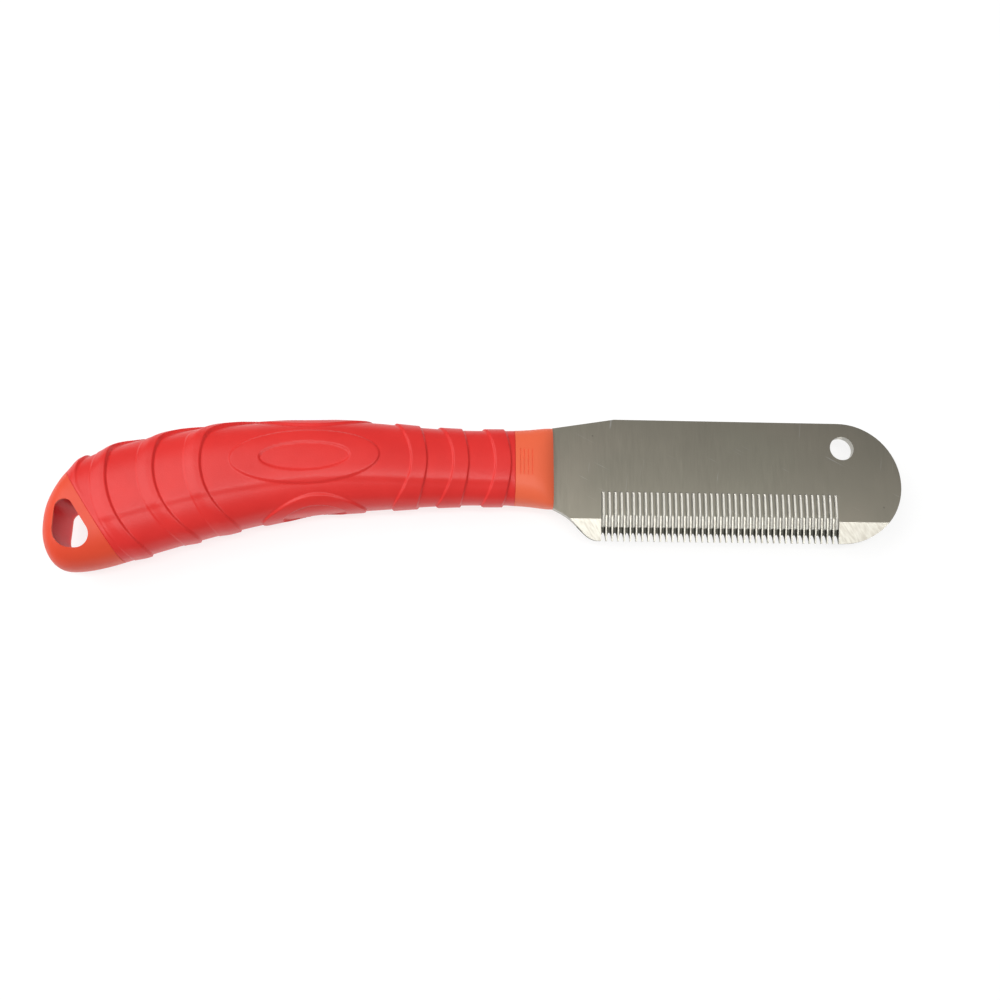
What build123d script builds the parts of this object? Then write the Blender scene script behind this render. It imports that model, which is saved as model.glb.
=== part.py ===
from build123d import *

import os
from math import cos, pi, sin

# Dematting comb: a toothed steel blade whose tang is moulded into a two-material handle.
# Lengths are in millimetres. The working datum is X = 0 at the collar's front face with +X towards
# the blade's nose, Y = 0 on the tang's centreline with +Y towards the blade's back, and Z = 0 on the
# blade's mid-plane. At the end the comb is moved to lie on Z = 0, centred on its footprint.

# Blade plate
BLADE_THICKNESS = 2.0
BACK_Y = 12.6  # straight back of the blade
EDGE_Y = -18.25  # tips of the teeth
SHOULDER_TOP = 10.0  # where the back meets the collar
SHOULDER_BOTTOM = -10.5  # where the heel meets the collar
BACK_START_X = 15.6  # the back runs straight from here to the nose
HEEL_END_X = 11.4  # the heel curve ends here, where the cutting edge begins
NOSE_X = 72.75  # centre of the half-round nose
NOSE_RADIUS = (BACK_Y - EDGE_Y) / 2
HOLE_X, HOLE_Y = 73.6, 6.1
HOLE_RADIUS = 3.05

# Ground edge and teeth
BEVEL_TOP_Y = -13.0  # the bevel's upper border beside the teeth
TOOTHED_BEVEL_TOP_Y = -12.1  # the same border in the toothed stretch
BEVEL_SLOPE = 0.25
TOOTH_PITCH = 1.5
GROOVE_COUNT = 40
FIRST_GROOVE_X = 12.45
GROOVE_TOP_Y = -6.4  # where a groove's depth starts, below its rounded end
GROOVE_RADIUS = 0.58
GROOVE_TOP_DEPTH = 0.15
GROOVE_SLOPE = 0.045
STEEP_GROOVE_SLOPE = 0.28  # from the toothed bevel's border to the gap
GAP_TOP_Y = -14.75  # the deep gap between two teeth starts here and slopes out through the back
GAP_FLOOR_Z = -0.6
GAP_SLOPE = 0.28
GAP_WIDTH = 1.1

# Tang, hidden in the handle
TANG_WIDTH = 13.0
TANG_LENGTH = 70.0
LOCK_HOLE_RADIUS = 2.5
LOCK_HOLE_XS = (-16.0, -36.0, -56.0)

# Handle: X, lowest Y, highest Y, half thickness and superellipse exponent at each station
STATIONS = (
    (0.0, -10.45, 9.95, 3.4, 3.4),
    (-1.2, -10.35, 9.85, 4.3, 3.3),
    (-3.0, -10.15, 9.65, 5.05, 3.1),
    (-5.5, -9.85, 9.35, 5.5, 2.9),
    (-9.4, -9.6, 9.05, 5.75, 2.8),
    (-15.0, -9.65, 8.9, 6.05, 2.7),
    (-22.5, -9.75, 8.85, 6.45, 2.6),
    (-32.0, -10.25, 9.25, 7.05, 2.6),
    (-43.5, -11.15, 10.1, 8.0, 2.6),
    (-53.0, -11.95, 10.4, 8.3, 2.6),
    (-63.0, -13.4, 10.2, 8.5, 2.6),
    (-73.5, -15.85, 9.4, 8.5, 2.6),
    (-84.0, -18.85, 8.3, 8.4, 2.6),
    (-93.0, -21.65, 6.6, 8.3, 2.6),
    (-101.0, -24.3, 4.65, 8.2, 2.6),
    (-107.0, -26.2, 2.75, 8.15, 2.6),
    (-111.5, -27.15, 0.8, 8.1, 2.6),
    (-115.0, -27.35, -1.35, 8.0, 2.6),
    (-117.3, -26.75, -3.9, 7.7, 2.6),
    (-119.0, -25.2, -6.8, 6.9, 2.6),
    (-120.25, -23.0, -9.7, 5.7, 2.6),
    (-121.0, -20.7, -12.5, 4.1, 2.6),
    (-121.35, -18.7, -14.7, 2.3, 2.6),
)
BUTT_END_X, BUTT_END_Y = -121.45, -16.7
THINNEST = 1.5
SECTION_POINTS = 28

# The soft grip covers the handle from the collar to a slanted plane at the butt
GRIP_WALL = 2.2
GRIP_FRONT_X = -9.5
BUTT_BORDER_X, BUTT_BORDER_Y = -110.25, -13.65
BUTT_BORDER_SLANT = 33.8  # degrees between the border and the Y axis

# Raised pattern of the grip
RELIEF = 0.55
# Rear bands: X, Y of the point nearest the butt, and radius, of each edge's arc, butt side first
REAR_BANDS = (
    ((-110.2, -4.0, 26.0), (-106.7, -2.3, 25.5)),
    ((-99.7, -1.0, 23.0), (-95.65, -1.5, 20.0)),
    ((-88.75, 1.0, 27.0), (-84.75, -0.5, 18.5)),
)
REAR_BAND_REACH = 17.5  # how far the arcs run along Y on each side of the handle's centreline
# Front bands: X at the ends and the middle of the butt-side edge, then of the blade-side edge
FRONT_BANDS = ((-40.4, -34.9, -34.5, -31.05), (-31.0, -24.7, -24.5, -20.95), (-20.2, -14.5, -14.0, -10.6))
FRONT_BAND_REACH = 11.5
FACE_PAD = {"centre": (-60.0, -0.4), "outer": (17.7, 6.5), "inner": (10.7, 3.6), "tilt": 3.4}
UPPER_PAD = {"x": -59.3, "outer": (14.8, 6.3), "inner": (9.6, 4.3)}
LOWER_PAD = {"x": -58.1, "outer": (12.5, 6.8), "inner": (7.6, 4.7)}

# Hang hole in the butt: a rounded triangle, its walls lined with the grip's soft material
HANG_CORNERS = ((-117.5, -6.8), (-117.9, -23.0), (-106.7, -22.8))
HANG_RADII = (2.2, 4.4, 3.1)
LINER_WALL = 1.0
LIP = 0.7  # orange rim left above and below the liner

# Moulded grip lines on the collar
COLLAR_LINES_X = (-8.3, -7.4, -6.4, -5.4)
COLLAR_LINE_LENGTH = 6.6
COLLAR_LINE_WIDTH = 0.25
COLLAR_LINE_DEPTH = 0.2

THROUGH = 60.0  # length of a cutter that passes through the whole comb


def extruded(sketch, low, high):
    """A prism over a sketch in the XY plane, from Z = low to Z = high."""
    return extrude(Pos(0, 0, low) * sketch, amount=high - low)


def section(x, low, high, half_thickness, exponent, outset):
    """A superellipse across the handle at one station, grown outwards by outset."""
    centre = (low + high) / 2
    half_width = (high - low) / 2 + outset
    half_height = half_thickness + outset
    turns = [step / SECTION_POINTS for step in range(SECTION_POINTS + 1)]
    points = []
    for turn in turns[:-1]:
        across, up = cos(2 * pi * turn), sin(2 * pi * turn)
        reach = (abs(across) ** exponent + abs(up) ** exponent) ** (-1 / exponent)
        points.append(Vector(x, centre + half_width * reach * across, half_height * reach * up))
    return Face(Wire([Edge.make_spline(points, periodic=True, parameters=turns)]))


def handle_body(outset=0.0):
    """The whole handle's outer form, grown outwards by outset.

    A body that is shrunk by a negative outset leaves out the thin stations, so its ends are flat.
    """
    faces = [section(*station, outset) for station in STATIONS if station[3] + min(outset, 0) > THINNEST]
    if outset >= 0:
        faces.append(Vertex(BUTT_END_X - outset, BUTT_END_Y, 0))
    return loft(faces)


def blade_outline():
    """Outline of the plate that shows in front of the collar."""
    back = Polyline((0, SHOULDER_BOTTOM), (0, SHOULDER_TOP), (BACK_START_X, BACK_Y), (NOSE_X, BACK_Y))
    nose = CenterArc((NOSE_X, BACK_Y - NOSE_RADIUS), NOSE_RADIUS, 90, -180)
    edge = Line((NOSE_X, EDGE_Y), (HEEL_END_X, EDGE_Y))
    heel = Spline(
        (HEEL_END_X, EDGE_Y),
        (7.9, -16.8),
        (4.5, -13.3),
        (0, SHOULDER_BOTTOM),
        tangents=((-1, 0), (-1, 0.5)),
    )
    return make_face([back, nose, edge, heel])


def tang():
    """The narrow tail that the handle is moulded round, with its lock holes."""
    shape = Pos(-TANG_LENGTH / 2 + 1, 0) * Rectangle(TANG_LENGTH + 2, TANG_WIDTH)
    shape = fillet(shape.vertices().group_by(Axis.X)[0], TANG_WIDTH / 2 - 0.5)
    for x in LOCK_HOLE_XS:
        shape -= Pos(x, 0) * Circle(LOCK_HOLE_RADIUS)
    return shape


def bevel_cutter(x_start, x_end, top_y):
    """The wedge ground off the front face between two X positions, from top_y down to the edge."""
    reach = top_y - EDGE_Y + 1
    front = BLADE_THICKNESS / 2
    profile = make_face(
        Polyline(
            (top_y, front),
            (top_y - reach, front - BEVEL_SLOPE * reach),
            (top_y - reach, front + 1),
            (top_y, front + 1),
            close=True,
        )
    )
    return extrude(Plane.YZ.offset(x_start) * profile, amount=x_end - x_start)


def channel(y_top, depth, slope, length):
    """A round-bottomed channel with a rounded top end, sunk below the front face."""
    centre_z = BLADE_THICKNESS / 2 - depth + GROOVE_RADIUS
    start = (0, y_top, centre_z)
    bore = extrude(Plane(start, x_dir=(1, 0, 0), z_dir=(0, -1, -slope)) * Circle(GROOVE_RADIUS), amount=length)
    return bore + Pos(*start) * Sphere(GROOVE_RADIUS)


def gap_cutter():
    """The deep gap between two teeth: round-bottomed, and sloping out through the plate's back."""
    length = GAP_TOP_Y - EDGE_Y + 1
    end_y = GAP_TOP_Y - length
    centre_z = GAP_FLOOR_Z + GAP_WIDTH / 2
    front = BLADE_THICKNESS / 2
    side = Polyline(
        (GAP_TOP_Y, centre_z),
        (GAP_TOP_Y, front),
        (end_y, front),
        (end_y, centre_z - GAP_SLOPE * length),
        close=True,
    )
    slot = extrude(Plane.YZ * make_face(side), amount=GAP_WIDTH / 2, both=True)
    along = Plane((0, GAP_TOP_Y, centre_z), x_dir=(1, 0, 0), z_dir=(0, -1, -GAP_SLOPE))
    return slot + extrude(along * Circle(GAP_WIDTH / 2), amount=length + 1)


def groove_cutter():
    """One groove: it deepens gently to the bevel, follows the bevel down, then drops into the gap."""
    gentle_length = GROOVE_TOP_Y - TOOTHED_BEVEL_TOP_Y
    gentle = channel(GROOVE_TOP_Y, GROOVE_TOP_DEPTH, GROOVE_SLOPE, gentle_length)
    depth = GROOVE_TOP_DEPTH + GROOVE_SLOPE * gentle_length
    steep = channel(TOOTHED_BEVEL_TOP_Y, depth, STEEP_GROOVE_SLOPE, TOOTHED_BEVEL_TOP_Y - EDGE_Y + 1)
    return gentle + steep + gap_cutter()


def blade():
    """The steel blade: plate, ground edge, grooved teeth, hang hole and tang."""
    front = BLADE_THICKNESS / 2
    solid = extruded(blade_outline() + tang(), -front, front)
    solid -= extruded(Pos(HOLE_X, HOLE_Y) * Circle(HOLE_RADIUS), -THROUGH, THROUGH)
    teeth_start = FIRST_GROOVE_X - GAP_WIDTH / 2
    teeth_end = FIRST_GROOVE_X + (GROOVE_COUNT - 1) * TOOTH_PITCH + GAP_WIDTH / 2
    solid -= bevel_cutter(0, teeth_start, BEVEL_TOP_Y)
    solid -= bevel_cutter(teeth_start, teeth_end, TOOTHED_BEVEL_TOP_Y)
    solid -= bevel_cutter(teeth_end, NOSE_X + NOSE_RADIUS + 1, BEVEL_TOP_Y)
    cutter = groove_cutter()
    return solid - [Pos(FIRST_GROOVE_X + index * TOOTH_PITCH, 0, 0) * cutter for index in range(GROOVE_COUNT)]


def arc_band(butt_edge, blade_edge):
    """A curved strip across the handle between two three-point arcs, as a prism along Z."""
    first = ThreePointArc(*butt_edge)
    second = ThreePointArc(*blade_edge)
    sides = [Line(first @ 0, second @ 0), Line(first @ 1, second @ 1)]
    return extruded(make_face([first, second] + sides), -THROUGH, THROUGH)


def rear_edge(x, y, radius):
    """Three points of a rear band's arc, which bulges towards the butt."""
    drop = radius - (radius**2 - REAR_BAND_REACH**2) ** 0.5
    return (x + drop, y + REAR_BAND_REACH), (x, y), (x + drop, y - REAR_BAND_REACH)


def front_edge(end_x, middle_x):
    """Three points of a front band's arc, which bulges towards the blade."""
    return (end_x, FRONT_BAND_REACH), (middle_x, 0), (end_x, -FRONT_BAND_REACH)


def face_ring():
    """The oval ring on both broad faces of the grip."""
    ring = Ellipse(*FACE_PAD["outer"]) - Ellipse(*FACE_PAD["inner"])
    ring = Pos(*FACE_PAD["centre"]) * Rot(0, 0, FACE_PAD["tilt"]) * ring
    return extruded(ring, -THROUGH, THROUGH)


def flank_ring(pad, direction):
    """The oval ring on one narrow flank of the grip, on the side that direction names."""
    ring = Ellipse(*pad["outer"]) - Ellipse(*pad["inner"])
    plane = Plane((pad["x"], 0, 0), x_dir=(1, 0, 0), z_dir=(0, direction, 0))
    return extrude(plane * ring, amount=THROUGH)


def relief_regions():
    """Every region of the grip where its raised pattern stands."""
    regions = [arc_band(rear_edge(*near), rear_edge(*far)) for near, far in REAR_BANDS]
    regions += [arc_band(front_edge(*band[:2]), front_edge(*band[2:])) for band in FRONT_BANDS]
    regions += [face_ring(), flank_ring(UPPER_PAD, 1), flank_ring(LOWER_PAD, -1)]
    return regions


def butt_side():
    """The half-space on the butt's side of the grip's slanted border."""
    border = Pos(BUTT_BORDER_X, BUTT_BORDER_Y) * Rot(0, 0, BUTT_BORDER_SLANT)
    return extruded(border * Pos(-THROUGH / 2, 0) * Rectangle(THROUGH, THROUGH), -THROUGH, THROUGH)


def collar_side():
    """The space in front of the grip's front end."""
    return Pos(GRIP_FRONT_X + THROUGH / 2, 0, 0) * Box(THROUGH, THROUGH, THROUGH)


def hang_outline():
    """The hang hole's rounded triangle."""
    outline = make_face(Polyline(*HANG_CORNERS, close=True))
    for corner, radius in zip(HANG_CORNERS, HANG_RADII):
        outline = fillet(outline.vertices().sort_by_distance((corner[0], corner[1], 0))[0], radius)
    return outline


def hang_hole_liner():
    """The soft sleeve inside the hang hole, a lip's depth below the butt's faces."""
    outline = hang_outline()
    sleeve = offset(outline, amount=LINER_WALL) - outline
    return extruded(sleeve, -THROUGH, THROUGH) & handle_body(-LIP)


def collar_lines():
    """Shallow moulded lines across both faces of the collar."""
    line = SlotOverall(COLLAR_LINE_LENGTH, COLLAR_LINE_WIDTH, rotation=90)
    below_surface = handle_body(-COLLAR_LINE_DEPTH)
    return [extruded(Pos(x, 0) * line, -THROUGH, THROUGH) - below_surface for x in COLLAR_LINES_X]


def grip(outer, inner):
    """The soft red sleeve with its raised bands and oval rings."""
    raised = handle_body(RELIEF)
    sleeve = outer
    for region in relief_regions():
        sleeve += raised & region
    return sleeve - inner - butt_side() - collar_side()


def handle_core(outer, inner, steel, liner):
    """The hard orange moulding: collar, core under the grip, and the butt with its hang hole."""
    core = (outer & butt_side()) + (outer & collar_side()) + inner
    return core - steel - extruded(hang_outline(), -THROUGH, THROUGH) - liner - collar_lines()


def main():
    """Build every node, move the comb to its own frame and write one STEP file for each."""
    outer = handle_body()
    inner = handle_body(-GRIP_WALL)
    steel = blade()
    liner = hang_hole_liner()
    nodes = {
        "blade": steel,
        "handle_core": handle_core(outer, inner, steel, liner),
        "grip": grip(outer, inner),
        "hang_hole_liner": liner,
    }
    box = Compound(children=[Compound(node.solids()) for node in nodes.values()]).bounding_box()
    home = Pos(-box.center().X, -box.center().Y, -box.min.Z)
    os.makedirs("parts", exist_ok=True)
    for name, node in nodes.items():
        export_step(home * node, f"parts/{name}.step")


if __name__ == "__main__":
    main()
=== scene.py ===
from math import cos, pi, radians, sin, tan

import bpy
import numpy as np
from mathutils import Matrix, Vector


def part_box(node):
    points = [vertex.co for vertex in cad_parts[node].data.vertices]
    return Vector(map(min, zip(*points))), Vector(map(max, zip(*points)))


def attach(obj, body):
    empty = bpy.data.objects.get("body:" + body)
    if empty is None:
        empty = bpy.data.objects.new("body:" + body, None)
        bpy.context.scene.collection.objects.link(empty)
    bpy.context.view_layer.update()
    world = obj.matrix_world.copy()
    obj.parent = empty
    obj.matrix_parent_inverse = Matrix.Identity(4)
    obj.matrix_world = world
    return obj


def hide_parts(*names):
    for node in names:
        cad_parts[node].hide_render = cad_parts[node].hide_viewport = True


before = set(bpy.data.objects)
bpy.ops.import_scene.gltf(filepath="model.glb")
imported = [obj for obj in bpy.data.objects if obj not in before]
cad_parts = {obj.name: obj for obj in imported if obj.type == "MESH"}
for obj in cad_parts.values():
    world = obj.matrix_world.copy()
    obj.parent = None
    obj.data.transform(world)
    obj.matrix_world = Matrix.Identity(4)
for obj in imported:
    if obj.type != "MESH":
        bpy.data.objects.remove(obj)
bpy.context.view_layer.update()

# The comb's own datum, taken from the frame: X = 0 at the collar's front face, Y = 0 on the tang's
# centreline, Z = 0 on the blade's mid-plane. Lengths below are in millimetres from it.
MM = 0.001
BACK_Y = 12.6  # the blade's straight back
blade_low, blade_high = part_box("blade")
collar_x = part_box("handle_core")[1].x
DATUM = Vector((collar_x, blade_high.y - BACK_Y * MM, (blade_low.z + blade_high.z) / 2))

# Blade: its half thickness, the bevel that the teeth are cut in, and the deep gaps between the teeth
HALF_BLADE = 1.0
TOOTHED_BEVEL_TOP_Y = -12.1  # the bevel's border on the front face
BEVEL_SLOPE = 0.25
GAP_TOP_Y = -14.75

# Handle: X, lowest Y, highest Y, half thickness and superellipse exponent at each station
STATIONS = np.array((
    (0.0, -10.45, 9.95, 3.4, 3.4),
    (-1.2, -10.35, 9.85, 4.3, 3.3),
    (-3.0, -10.15, 9.65, 5.05, 3.1),
    (-5.5, -9.85, 9.35, 5.5, 2.9),
    (-9.4, -9.6, 9.05, 5.75, 2.8),
    (-15.0, -9.65, 8.9, 6.05, 2.7),
    (-22.5, -9.75, 8.85, 6.45, 2.6),
    (-32.0, -10.25, 9.25, 7.05, 2.6),
    (-43.5, -11.15, 10.1, 8.0, 2.6),
    (-53.0, -11.95, 10.4, 8.3, 2.6),
    (-63.0, -13.4, 10.2, 8.5, 2.6),
    (-73.5, -15.85, 9.4, 8.5, 2.6),
    (-84.0, -18.85, 8.3, 8.4, 2.6),
    (-93.0, -21.65, 6.6, 8.3, 2.6),
    (-101.0, -24.3, 4.65, 8.2, 2.6),
    (-107.0, -26.2, 2.75, 8.15, 2.6),
    (-111.5, -27.15, 0.8, 8.1, 2.6),
    (-115.0, -27.35, -1.35, 8.0, 2.6),
    (-117.3, -26.75, -3.9, 7.7, 2.6),
    (-119.0, -25.2, -6.8, 6.9, 2.6),
    (-120.25, -23.0, -9.7, 5.7, 2.6),
    (-121.0, -20.7, -12.5, 4.1, 2.6),
    (-121.35, -18.7, -14.7, 2.3, 2.6),
))[::-1]

# Soft grip: its front end, its wall, and a point on the slanted border between it and the butt
GRIP_FRONT_X = -9.5
GRIP_WALL = 2.2
BORDER_X, BORDER_Y = -110.25, -13.65
BORDER_SLANT = radians(33.8)

# Mesh of the grip: rings along the outside and the inside, and steps round each ring
GRIP_RINGS = 520
INNER_RINGS = 8
GRIP_STEPS = 252
BORDER_ROUNDS = 30  # rounds of halving the error in the border's place

# Raised pattern of the grip. Girth is the length round a ring from the middle of a broad face, positive
# towards +Y. A pair of girths is where something starts and where it is complete.
STEP_WIDTH = 0.26  # how far along the surface a crisp step takes to rise
RELIEF = 0.45
FLANK_RELIEF, FLANK_GIRTHS = 0.8, (6.0, 11.0)  # the rear bands stand taller round the upper flank
RING_RELIEF = 0.32

# Rear bands: each edge is an arc, given by its point nearest the butt and a radius. On the butt's side
# a band has a small step and then a long rise. Towards the upper flank its edges turn to the blade.
REAR_BANDS = (
    ((-110.2, -4.0, 26.0), (-106.7, -2.3, 25.5)),
    ((-99.7, -1.0, 23.0), (-95.65, -1.5, 20.0)),
    ((-88.75, 1.0, 27.0), (-84.75, -0.5, 18.5)),
)
REAR_STEP_SHARE = 0.35
REAR_RISE_LENGTH = 2.6
FLARE = 0.14  # how fast the edges turn
FLARE_X, FLARE_GIRTH, FLARE_GIRTH_SLOPE = -84.0, 9.7, 0.15  # where they start to turn

# The small raised corner between the border and an arc
CORNER_ARC = (-113.6, -4.5, 9.0)
CORNER_SHARE, CORNER_GIRTHS = 0.8, (2.0, 7.0)

# Front bands: each edge is given by its X at the face's middle and how far it sweeps back on the flanks
FRONT_BANDS = (
    ((-34.87, 4.6), (-31.05, 2.4)),
    ((-24.69, 4.2), (-20.94, 2.15)),
    ((-14.51, 3.5), (-10.6, 2.1)),
)
SWEEP_GIRTH = 15.5  # where an edge has swept back in full
NEAR_POWER, FAR_POWER = 1.15, 0.95  # a higher power sweeps an edge back later

# A soft shoulder below each broad face: where it starts, how wide and deep it is, and its fade-out
SHOULDER_GIRTH, SHOULDER_WIDTH, SHOULDER_DEPTH, SHOULDER_FADE = 4.2, 1.9, 0.2, 9.0

# How far from the grip's ends the pattern fades in, and how its two rims are rounded down
END_FADE, CORNER_END_FADE, SHOULDER_END_FADE = 0.5, 2.7, 2.0
RIM_DROP, RIM_WIDTH = 0.06, 0.35

# Oval rings, one on each broad face and one on each flank: outer and inner half axes
FACE_PAD_CENTRE, FACE_PAD_TILT = (-60.2, -0.3), radians(3.3)
FACE_PAD_OUTER, FACE_PAD_INNER = (17.7, 6.6), (10.7, 3.45)
UPPER_PAD_X, UPPER_PAD_OUTER, UPPER_PAD_INNER = -59.3, (14.8, 6.3), (9.6, 4.3)
LOWER_PAD_X, LOWER_PAD_OUTER, LOWER_PAD_INNER = -58.1, (12.5, 6.8), (7.6, 4.7)

# Colours, as linear red, green and blue
GRIP_RED, GRIP_RED_SHADE = (0.86, 0.043, 0.038), (0.80, 0.037, 0.033)
CORE_ORANGE, CORE_ORANGE_SHADE = (0.88, 0.09, 0.04), (0.84, 0.08, 0.036)
# The collar colour is painted light: the core is painted lighter towards the collar, standing in for
# light falling there
COLLAR_PAINTED_LIGHT, COLLAR_PAINTED_LIGHT_LENGTH = (0.98, 0.17, 0.075), 90.0  # the core grows lighter to the front
LINER_RED, LINER_RED_SHADE = (0.80, 0.008, 0.02), (0.72, 0.007, 0.017)
SHEET_WARM, SHEET_GREEN, SHEET_DARK = (0.54, 0.49, 0.40), (0.51, 0.485, 0.39), (0.48, 0.45, 0.365)
SCRATCH_PALE, SPECK_DARK = (0.86, 0.85, 0.82), (0.16, 0.15, 0.13)
GROUND_PALE, GROUND_DARK = (0.66, 0.64, 0.565), (0.54, 0.51, 0.44)
# The last colour is painted shade, put deep in the gaps between the teeth
GROOVE_WALL, GAP_PAINTED_SHADE = (0.50, 0.49, 0.45), (0.07, 0.07, 0.055)

# Camera, in millimetres from the datum
CAMERA_AT = (-29.2, -75.3, 267.1)
CAMERA_AIM = (-13.0, -8.4, 0.0)
LENS, SENSOR = 40.32, 36.0

# Area lights: name, place in millimetres from the datum, size in metres and power in watts
LIGHT_AIM = (-13.0, -8.0, 0.0)
LIGHTS = (
    ("key", (-620.0, 150.0, 780.0), (0.8, 0.8), 6.6),
    ("strip", (60.0, -90.0, 1000.0), (0.9, 0.1), 3.8),
    ("bevel_card", (390.0, -260.0, 930.0), (0.55, 0.3), 0.42),
)
WORLD_STRENGTH = 0.12

# Floor, in metres: a pale sheet that also gives off a little light
FLOOR_HALF = 3.0
FLOOR_GREY = (0.27, 0.27, 0.27, 1)
FLOOR_GLOW = 0.8


# ---------------------------------------------------------------- shared helpers

def to_row(points):
    """Points in millimetres from the datum, as metres in the row frame."""
    return np.asarray(points, float) * MM + np.array(DATUM)


def smoothstep(value):
    """0 below 0, 1 above 1, and a smooth rise between."""
    value = np.clip(value, 0.0, 1.0)
    return value * value * (3 - 2 * value)


def rise(value, start, end):
    """0 below start, 1 above end, and a smooth rise between."""
    return smoothstep((value - start) / (end - start))


def crisp_step(distance):
    """A narrow smooth step from 0 to 1, centred where distance is 0."""
    return smoothstep(distance / STEP_WIDTH + 0.5)


def mesh_object(name, vertices, faces, material):
    """A smooth-shaded mesh object in the row frame, from vertices in millimetres and faces."""
    mesh = bpy.data.meshes.new(name)
    mesh.from_pydata(to_row(vertices).tolist(), [], faces)
    mesh.validate()
    mesh.update()
    mesh.polygons.foreach_set("use_smooth", [True] * len(mesh.polygons))
    mesh.materials.append(material)
    piece = bpy.data.objects.new(name, mesh)
    bpy.context.scene.collection.objects.link(piece)
    return piece


# ---------------------------------------------------------------- handle form

def station_curve(column, x):
    """One column of the stations as a smooth curve, evaluated at x."""
    xs, ys = STATIONS[:, 0], STATIONS[:, column]
    slopes = np.gradient(ys, xs)
    index = np.clip(np.searchsorted(xs, x) - 1, 0, len(xs) - 2)
    span = xs[index + 1] - xs[index]
    t = (x - xs[index]) / span
    start = ys[index] * (1 + 2 * t) * (1 - t) ** 2 + slopes[index] * span * t * (1 - t) ** 2
    end = ys[index + 1] * (3 - 2 * t) * t**2 + slopes[index + 1] * span * (t - 1) * t**2
    return start + end


def handle_point(x, angle, outset):
    """Points on the handle's outer form, grown outwards by outset."""
    low, high = station_curve(1, x), station_curve(2, x)
    thick, exponent = station_curve(3, x), station_curve(4, x)
    across, up = np.cos(angle), np.sin(angle)
    reach = (np.abs(across) ** exponent + np.abs(up) ** exponent) ** (-1 / exponent)
    y = (low + high) / 2 + ((high - low) / 2 + outset) * reach * across
    return np.stack([x, y, (thick + outset) * reach * up], axis=-1)


def border_x(angle, outset):
    """Where the handle's surface meets the grip's slanted border, at each angle."""
    x = np.full_like(angle, BORDER_X)
    for _ in range(BORDER_ROUNDS):
        border = BORDER_X - (handle_point(x, angle, outset)[..., 1] - BORDER_Y) * tan(BORDER_SLANT)
        x = (x + border) / 2
    return x


# ---------------------------------------------------------------- relief of the grip

def beyond_arc(arc, x, y):
    """How far points lie past a rear edge, positive towards the blade."""
    tip_x, tip_y, radius = arc
    centre_x = tip_x + radius
    return np.where(x > centre_x, radius, radius - np.hypot(x - centre_x, y - tip_y))


def rear_bands(points, girth):
    """Bands that rise gently from the butt's side and drop sharply towards the blade."""
    x, y = points[..., 0], points[..., 1]
    flare_start = FLARE_GIRTH - FLARE_GIRTH_SLOPE * (x - FLARE_X)
    unflared_x = x - FLARE * np.maximum(girth - flare_start, 0.0) ** 2
    height = np.zeros(x.shape)
    for near, far in REAR_BANDS:
        inside = beyond_arc(near, unflared_x, y)
        step = REAR_STEP_SHARE * crisp_step(inside)
        slope = (1 - REAR_STEP_SHARE) * smoothstep(inside / REAR_RISE_LENGTH)
        height = np.maximum(height, (step + slope) * crisp_step(-beyond_arc(far, unflared_x, y)))
    corner = crisp_step(-beyond_arc(CORNER_ARC, x, y)) * rise(girth, *CORNER_GIRTHS)
    height = np.maximum(height, CORNER_SHARE * corner)
    return height * (RELIEF + (FLANK_RELIEF - RELIEF) * rise(girth, *FLANK_GIRTHS))


def front_edge(middle, sweep, power, girth):
    """X of a front band's edge at each girth."""
    turn = np.clip(np.abs(girth) / SWEEP_GIRTH, 0.0, 1.0)
    return middle - sweep * ((1 - np.cos(pi * turn)) / 2) ** power


def front_bands(points, girth):
    """Narrow bands near the collar, crisp on both sides."""
    height = np.zeros(girth.shape)
    for near, far in FRONT_BANDS:
        past_near = points[..., 0] - front_edge(*near, NEAR_POWER, girth)
        before_far = front_edge(*far, FAR_POWER, girth) - points[..., 0]
        height = np.maximum(height, crisp_step(past_near) * crisp_step(before_far))
    return RELIEF * height


def inside_ellipse(across, up, size):
    """Roughly how far inside an ellipse each point lies."""
    a, b = size
    level = np.hypot(across / a, up / b)
    slope = np.hypot(across / a**2, up / b**2) / np.maximum(level, 1e-6)
    return (1 - level) / np.maximum(slope, 1e-6)


def ring_height(across, up, outer, inner):
    """An oval ring's relief: raised between the two ellipses."""
    inside_outer = crisp_step(inside_ellipse(across, up, outer))
    outside_inner = crisp_step(-inside_ellipse(across, up, inner))
    return inside_outer * outside_inner


def oval_rings(points, girth):
    """The oval ring on each broad face and on each flank."""
    x, z = points[..., 0], points[..., 2]
    dx, dy = x - FACE_PAD_CENTRE[0], points[..., 1] - FACE_PAD_CENTRE[1]
    across = dx * cos(FACE_PAD_TILT) + dy * sin(FACE_PAD_TILT)
    up = dy * cos(FACE_PAD_TILT) - dx * sin(FACE_PAD_TILT)
    face = ring_height(across, up, FACE_PAD_OUTER, FACE_PAD_INNER)
    upper = ring_height(x - UPPER_PAD_X, z, UPPER_PAD_OUTER, UPPER_PAD_INNER)
    lower = ring_height(x - LOWER_PAD_X, z, LOWER_PAD_OUTER, LOWER_PAD_INNER)
    return np.maximum(RING_RELIEF * face, RELIEF * np.where(girth > 0, upper, lower))


def shoulder(girth, from_front, from_border):
    """The dip that makes a soft shoulder below each broad face."""
    past = -girth - SHOULDER_GIRTH
    dip = smoothstep(past / SHOULDER_WIDTH)
    dip *= 1 - smoothstep((past - SHOULDER_WIDTH) / SHOULDER_FADE)
    dip *= smoothstep(from_front / SHOULDER_END_FADE) * smoothstep(from_border / SHOULDER_END_FADE)
    return SHOULDER_DEPTH * dip


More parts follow.
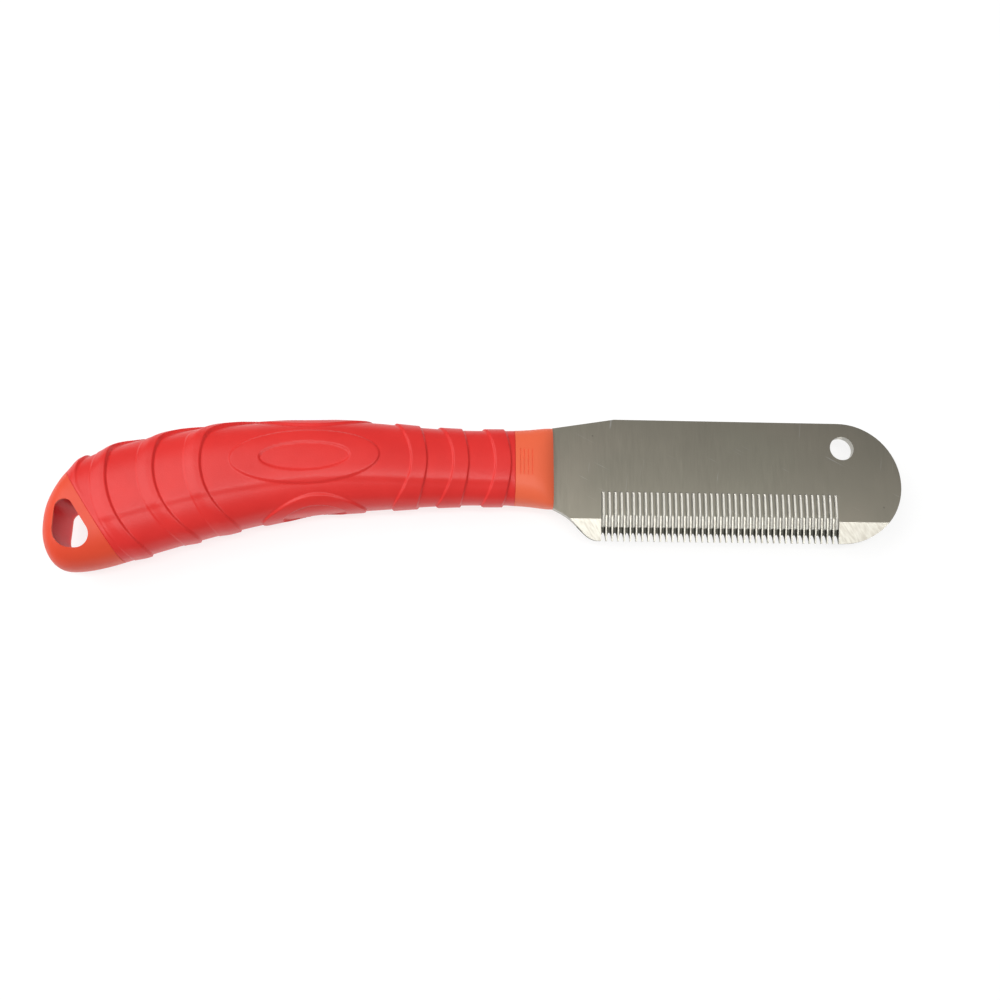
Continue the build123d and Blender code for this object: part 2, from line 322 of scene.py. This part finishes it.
def girth_from_face(points):
    """Length round each ring from the middle of its nearer broad face, positive towards +Y."""
    steps = points.shape[1]
    length = np.linalg.norm(np.roll(points, -1, axis=1) - points, axis=-1)
    travelled = np.cumsum(length, axis=1) - length
    front = travelled[:, steps // 4][:, None] - travelled
    index = np.arange(steps)
    mirrored = np.where(index <= steps // 2, index, steps - index)
    return front[:, mirrored]


def surface_normals(points):
    """Outward unit normals of a grid of points whose second axis closes on itself."""
    along = np.gradient(points, axis=0)
    around = np.roll(points, -1, axis=1) - np.roll(points, 1, axis=1)
    normal = np.cross(along, around)
    return normal / np.linalg.norm(normal, axis=-1, keepdims=True)


def relief_height(points):
    """How far the grip's outside stands off the handle's form."""
    girth = girth_from_face(points)
    from_front = GRIP_FRONT_X - points[..., 0]
    from_border = points[..., 0] - points[-1:, :, 0]
    height = np.maximum(rear_bands(points, girth), front_bands(points, girth))
    height = np.maximum(height, oval_rings(points, girth))
    border_fade = END_FADE + CORNER_END_FADE * rise(girth, *CORNER_GIRTHS)
    height *= smoothstep(from_front / END_FADE) * smoothstep(from_border / border_fade)
    height -= shoulder(girth, from_front, from_border)
    from_rim = np.minimum(from_front, from_border)
    return height - RIM_DROP * (1 - smoothstep(from_rim / RIM_WIDTH)) ** 2


def grip_wall(along, outset):
    """Rings of points on one wall of the grip: along is 0 at its front end and 1 at the border."""
    angle = np.linspace(0, 2 * pi, GRIP_STEPS, endpoint=False)
    x = GRIP_FRONT_X + along[:, None] * (border_x(angle, outset)[None, :] - GRIP_FRONT_X)
    return handle_point(x, np.broadcast_to(angle[None, :], x.shape), outset)


def build_grip(material):
    """The soft grip: relief outside, a plain wall inside, and flat ends."""
    form = grip_wall(np.linspace(0, 1, GRIP_RINGS), 0.0)
    outside = form + surface_normals(form) * relief_height(form)[..., None]
    inside = grip_wall(np.linspace(1, 0, INNER_RINGS), -GRIP_WALL)
    vertices = np.concatenate([outside, inside]).reshape(-1, 3)
    rings = GRIP_RINGS + INNER_RINGS
    ring, step = np.meshgrid(np.arange(rings), np.arange(GRIP_STEPS), indexing="ij")
    next_ring, next_step = (ring + 1) % rings, (step + 1) % GRIP_STEPS
    corners = [(ring, step), (next_ring, step), (next_ring, next_step), (ring, next_step)]
    faces = np.stack([r * GRIP_STEPS + s for r, s in corners], axis=-1).reshape(-1, 4)
    return mesh_object("soft_grip", vertices, faces.tolist(), material)


# ---------------------------------------------------------------- materials

class Nodes:
    """A short way to build a material's node tree."""

    def __init__(self, name):
        self.material = bpy.data.materials.new(name)
        self.material.use_nodes = True
        self.tree = self.material.node_tree
        self.shader = self.tree.nodes["Principled BSDF"]

    def add(self, kind, inputs=None, **settings):
        """A new node; an input is a socket to link or a value to set."""
        node = self.tree.nodes.new(kind)
        for key, value in settings.items():
            setattr(node, key, value)
        for key, value in (inputs or {}).items():
            if isinstance(value, bpy.types.NodeSocket):
                self.tree.links.new(value, node.inputs[key])
            else:
                node.inputs[key].default_value = value
        return node

    def link(self, socket, name):
        """Feeds one of the shader's inputs."""
        self.tree.links.new(socket, self.shader.inputs[name])

    def position(self, scale=(1, 1, 1), turn=0.0):
        """The place in the row frame, in metres, turned about Z and then stretched by scale."""
        coordinates = self.add("ShaderNodeTexCoord")
        inputs = {"Vector": coordinates.outputs["Object"], "Rotation": (0, 0, turn)}
        turned = self.add("ShaderNodeMapping", inputs).outputs["Vector"]
        return self.add("ShaderNodeMapping", {"Vector": turned, "Scale": scale}).outputs["Vector"]

    def noise(self, vector, scale, detail, roughness=0.5):
        inputs = {"Vector": vector, "Scale": scale, "Detail": detail, "Roughness": roughness}
        return self.add("ShaderNodeTexNoise", inputs).outputs["Fac"]

    def remap(self, value, low, high, to_low, to_high):
        """value taken from low..high to to_low..to_high, and held at the ends."""
        inputs = {0: value, 1: low, 2: high, 3: to_low, 4: to_high}
        return self.add("ShaderNodeMapRange", inputs).outputs[0]

    def math(self, operation, first, second=0.0):
        return self.add("ShaderNodeMath", {0: first, 1: second}, operation=operation).outputs[0]

    def mix(self, factor, first, second):
        """A blend from first to second, each a socket or a colour."""
        node = self.add("ShaderNodeMix", {0: factor}, data_type="RGBA")
        for index, value in ((6, first), (7, second)):
            if isinstance(value, bpy.types.NodeSocket):
                self.tree.links.new(value, node.inputs[index])
            else:
                node.inputs[index].default_value = (*value, 1.0)
        return node.outputs[2]

    def bump(self, height, distance):
        inputs = {"Height": height, "Distance": distance, "Strength": 1.0}
        self.link(self.add("ShaderNodeBump", inputs).outputs["Normal"], "Normal")


def moulded_plastic(name, colour, shade, roughness, grain, grain_depth, front_painted_light=None):
    """A moulded plastic: faint colour drift, a fine eroded texture, and, when given, painted light that
    makes the front lighter.
    """
    nodes = Nodes(name)
    place = nodes.position()
    drift = nodes.noise(place, 90.0, 3.0)
    fine = nodes.noise(place, 1.0 / (grain * MM), 2.0, 0.6)
    base = nodes.mix(nodes.remap(drift, 0.35, 0.65, 0.0, 1.0), colour, shade)
    # Painted light: blend towards a lighter colour near the collar
    if front_painted_light:
        x = nodes.add("ShaderNodeSeparateXYZ", {0: place}).outputs["X"]
        forward = nodes.remap(x, DATUM.x - COLLAR_PAINTED_LIGHT_LENGTH * MM, DATUM.x, 0.0, 1.0)
        base = nodes.mix(forward, base, front_painted_light)
    nodes.link(base, "Base Color")
    nodes.link(nodes.remap(fine, 0.3, 0.7, roughness - 0.05, roughness + 0.06), "Roughness")
    nodes.bump(fine, grain_depth * MM)
    nodes.shader.inputs["IOR"].default_value = 1.5
    nodes.shader.inputs["Specular IOR Level"].default_value = 0.3
    return nodes.material


def scratches(nodes, turn, low, high):
    """Sparse thin marks along one direction, 1 where a mark is."""
    marks = nodes.noise(nodes.position((60.0, 2200.0, 60.0), turn), 1.0, 1.0)
    patches = nodes.noise(nodes.position(), 130.0, 1.0)
    in_patch = nodes.remap(patches, 0.5, 0.6, 0.0, 1.0)
    return nodes.math("MULTIPLY", nodes.remap(marks, low, high, 0.0, 1.0), in_patch)


def specks(nodes):
    """Small dark dots in a few of the cells, 1 where a dot is."""
    cells = nodes.add("ShaderNodeTexVoronoi", {"Vector": nodes.position(), "Scale": 260.0})
    chance = nodes.add("ShaderNodeSeparateXYZ", {0: cells.outputs["Color"]}).outputs["X"]
    radius = nodes.remap(chance, 0.9, 1.0, 0.0, 0.09)
    return nodes.math("LESS_THAN", cells.outputs["Distance"], radius)


def sheet_colour(nodes):
    """The rolled sheet: a clouded warm grey with handling marks and dark specks."""
    tint = nodes.noise(nodes.position(), 25.0, 2.0)
    warm = nodes.mix(nodes.remap(tint, 0.35, 0.65, 0.0, 1.0), SHEET_WARM, SHEET_GREEN)
    cloud = nodes.noise(nodes.position(), 60.0, 3.0)
    sheet = nodes.mix(nodes.remap(cloud, 0.3, 0.7, 0.0, 1.0), warm, SHEET_DARK)
    marks = nodes.math("MAXIMUM", scratches(nodes, 0.5, 0.70, 0.76), scratches(nodes, 1.7, 0.72, 0.78))
    sheet = nodes.mix(nodes.math("MULTIPLY", marks, 0.5), sheet, SCRATCH_PALE)
    return nodes.mix(nodes.math("MULTIPLY", specks(nodes), 0.45), sheet, SPECK_DARK)


def ground_colour(nodes, grooved):
    """Where the wheel has been: slanting bright streaks on the bevel, duller walls in the grooves."""
    streaks = nodes.noise(nodes.position((1.0, 0.05, 1.0), -0.55), 1800.0, 3.0)
    bright = nodes.mix(nodes.remap(streaks, 0.4, 0.65, 0.0, 1.0), GROUND_PALE, GROUND_DARK)
    return nodes.mix(grooved, bright, GROOVE_WALL)


def gap_painted_shade(nodes):
    """Painted shade: 0 on the bevel's surface, rising to 0.9 deep in the gaps between the teeth, where
    little light gets in.
    """
    place = nodes.add("ShaderNodeSeparateXYZ", {0: nodes.position()})
    y = nodes.math("MULTIPLY", place.outputs["Y"], 1.0 / MM)
    z = nodes.math("MULTIPLY", place.outputs["Z"], 1.0 / MM)
    from_border = nodes.math("SUBTRACT", y, DATUM.y / MM + TOOTHED_BEVEL_TOP_Y)
    bevel = nodes.math("MULTIPLY", from_border, BEVEL_SLOPE)
    surface = nodes.math("ADD", bevel, DATUM.z / MM + HALF_BLADE)
    depth = nodes.remap(nodes.math("SUBTRACT", surface, z), 0.1, 0.45, 0.0, 0.9)
    gap_top = DATUM.y / MM + GAP_TOP_Y
    return nodes.math("MULTIPLY", depth, nodes.remap(y, gap_top - 0.1, gap_top + 0.05, 1.0, 0.0))


def blade_steel():
    """Satin stainless sheet, brighter where it is ground, with painted shade deep in the gaps between
    the teeth.
    """
    nodes = Nodes("blade_steel_satin")
    geometry = nodes.add("ShaderNodeNewGeometry")
    normal = nodes.add("ShaderNodeSeparateXYZ", {0: geometry.outputs["True Normal"]})
    ground = nodes.remap(nodes.math("ABSOLUTE", normal.outputs["Z"]), 0.985, 0.998, 1.0, 0.0)
    grooved = nodes.remap(nodes.math("ABSOLUTE", normal.outputs["X"]), 0.02, 0.25, 0.0, 1.0)
    colour = nodes.mix(ground, sheet_colour(nodes), ground_colour(nodes, grooved))
    # Painted shade: the colour darkens deep in the gaps between the teeth
    nodes.link(nodes.mix(gap_painted_shade(nodes), colour, GAP_PAINTED_SHADE), "Base Color")
    grain = nodes.noise(nodes.position((1.0, 0.02, 1.0)), 9000.0, 2.0)
    satin = nodes.remap(grain, 0.3, 0.7, 0.29, 0.32)
    hollow = nodes.math("MULTIPLY", nodes.math("MULTIPLY", grooved, ground), 0.2)
    nodes.link(nodes.math("ADD", satin, hollow), "Roughness")
    nodes.bump(grain, 0.0006 * MM)
    nodes.shader.inputs["Metallic"].default_value = 1.0
    return nodes.material


# ---------------------------------------------------------------- stage

def look_at(thing, place, aim):
    """Puts a camera or light at place, pointing at aim, with +Y up in its picture."""
    place, aim = Vector(to_row(place)), Vector(to_row(aim))
    forward = (aim - place).normalized()
    right = forward.cross(Vector((0, 1, 0))).normalized()
    up = right.cross(forward)
    matrix = Matrix((right, up, -forward)).transposed().to_4x4()
    matrix.translation = place
    thing.matrix_world = matrix


def build_camera():
    """The scene's camera."""
    camera = bpy.data.objects.new("camera", bpy.data.cameras.new("camera"))
    camera.data.lens = LENS
    camera.data.sensor_width = SENSOR
    camera.data.clip_start = 0.01
    bpy.context.scene.collection.objects.link(camera)
    look_at(camera, CAMERA_AT, CAMERA_AIM)
    bpy.context.scene.camera = camera


def area_light(name, place, size, power):
    """A soft rectangular light that points at the comb."""
    data = bpy.data.lights.new(name, "AREA")
    data.shape = "RECTANGLE"
    data.size, data.size_y = size
    data.energy = power
    light = bpy.data.objects.new(name, data)
    bpy.context.scene.collection.objects.link(light)
    look_at(light, place, LIGHT_AIM)


def build_floor():
    """A plain pale floor under the comb."""
    nodes = Nodes("pale_floor")
    nodes.shader.inputs["Base Color"].default_value = FLOOR_GREY
    nodes.shader.inputs["Roughness"].default_value = 0.9
    nodes.shader.inputs["Specular IOR Level"].default_value = 0.1
    nodes.shader.inputs["Emission Color"].default_value = (1.0, 1.0, 1.0, 1)
    nodes.shader.inputs["Emission Strength"].default_value = FLOOR_GLOW
    mesh = bpy.data.meshes.new("floor")
    signs = ((-1, -1), (1, -1), (1, 1), (-1, 1))
    corners = [(across * FLOOR_HALF, up * FLOOR_HALF, 0) for across, up in signs]
    mesh.from_pydata(corners, [], [(0, 1, 2, 3)])
    mesh.materials.append(nodes.material)
    floor = bpy.data.objects.new("floor", mesh)
    bpy.context.scene.collection.objects.link(floor)


def build_world():
    """Even white light from all round, and a plain view transform."""
    world = bpy.data.worlds.new("studio")
    world.use_nodes = True
    background = world.node_tree.nodes["Background"]
    background.inputs["Color"].default_value = (1.0, 1.0, 1.0, 1)
    background.inputs["Strength"].default_value = WORLD_STRENGTH
    bpy.context.scene.world = world
    bpy.context.scene.view_settings.view_transform = "Standard"


build_camera()
build_world()
build_floor()
for light in LIGHTS:
    area_light(*light)

red = moulded_plastic("grip_red", GRIP_RED, GRIP_RED_SHADE, roughness=0.34, grain=0.3, grain_depth=0.03)
orange = moulded_plastic(
    "core_orange",
    CORE_ORANGE,
    CORE_ORANGE_SHADE,
    roughness=0.40,
    grain=0.4,
    grain_depth=0.008,
    # painted light: lighter towards the collar
    front_painted_light=COLLAR_PAINTED_LIGHT,
)
deep_red = moulded_plastic(
    "liner_deep_red",
    LINER_RED,
    LINER_RED_SHADE,
    roughness=0.5,
    grain=0.3,
    grain_depth=0.015,
)

grip = build_grip(red)
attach(grip, "root")
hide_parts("grip")

cad_materials = {"blade": blade_steel(), "handle_core": orange, "hang_hole_liner": deep_red}
for node, material in cad_materials.items():
    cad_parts[node].data.materials[0] = material
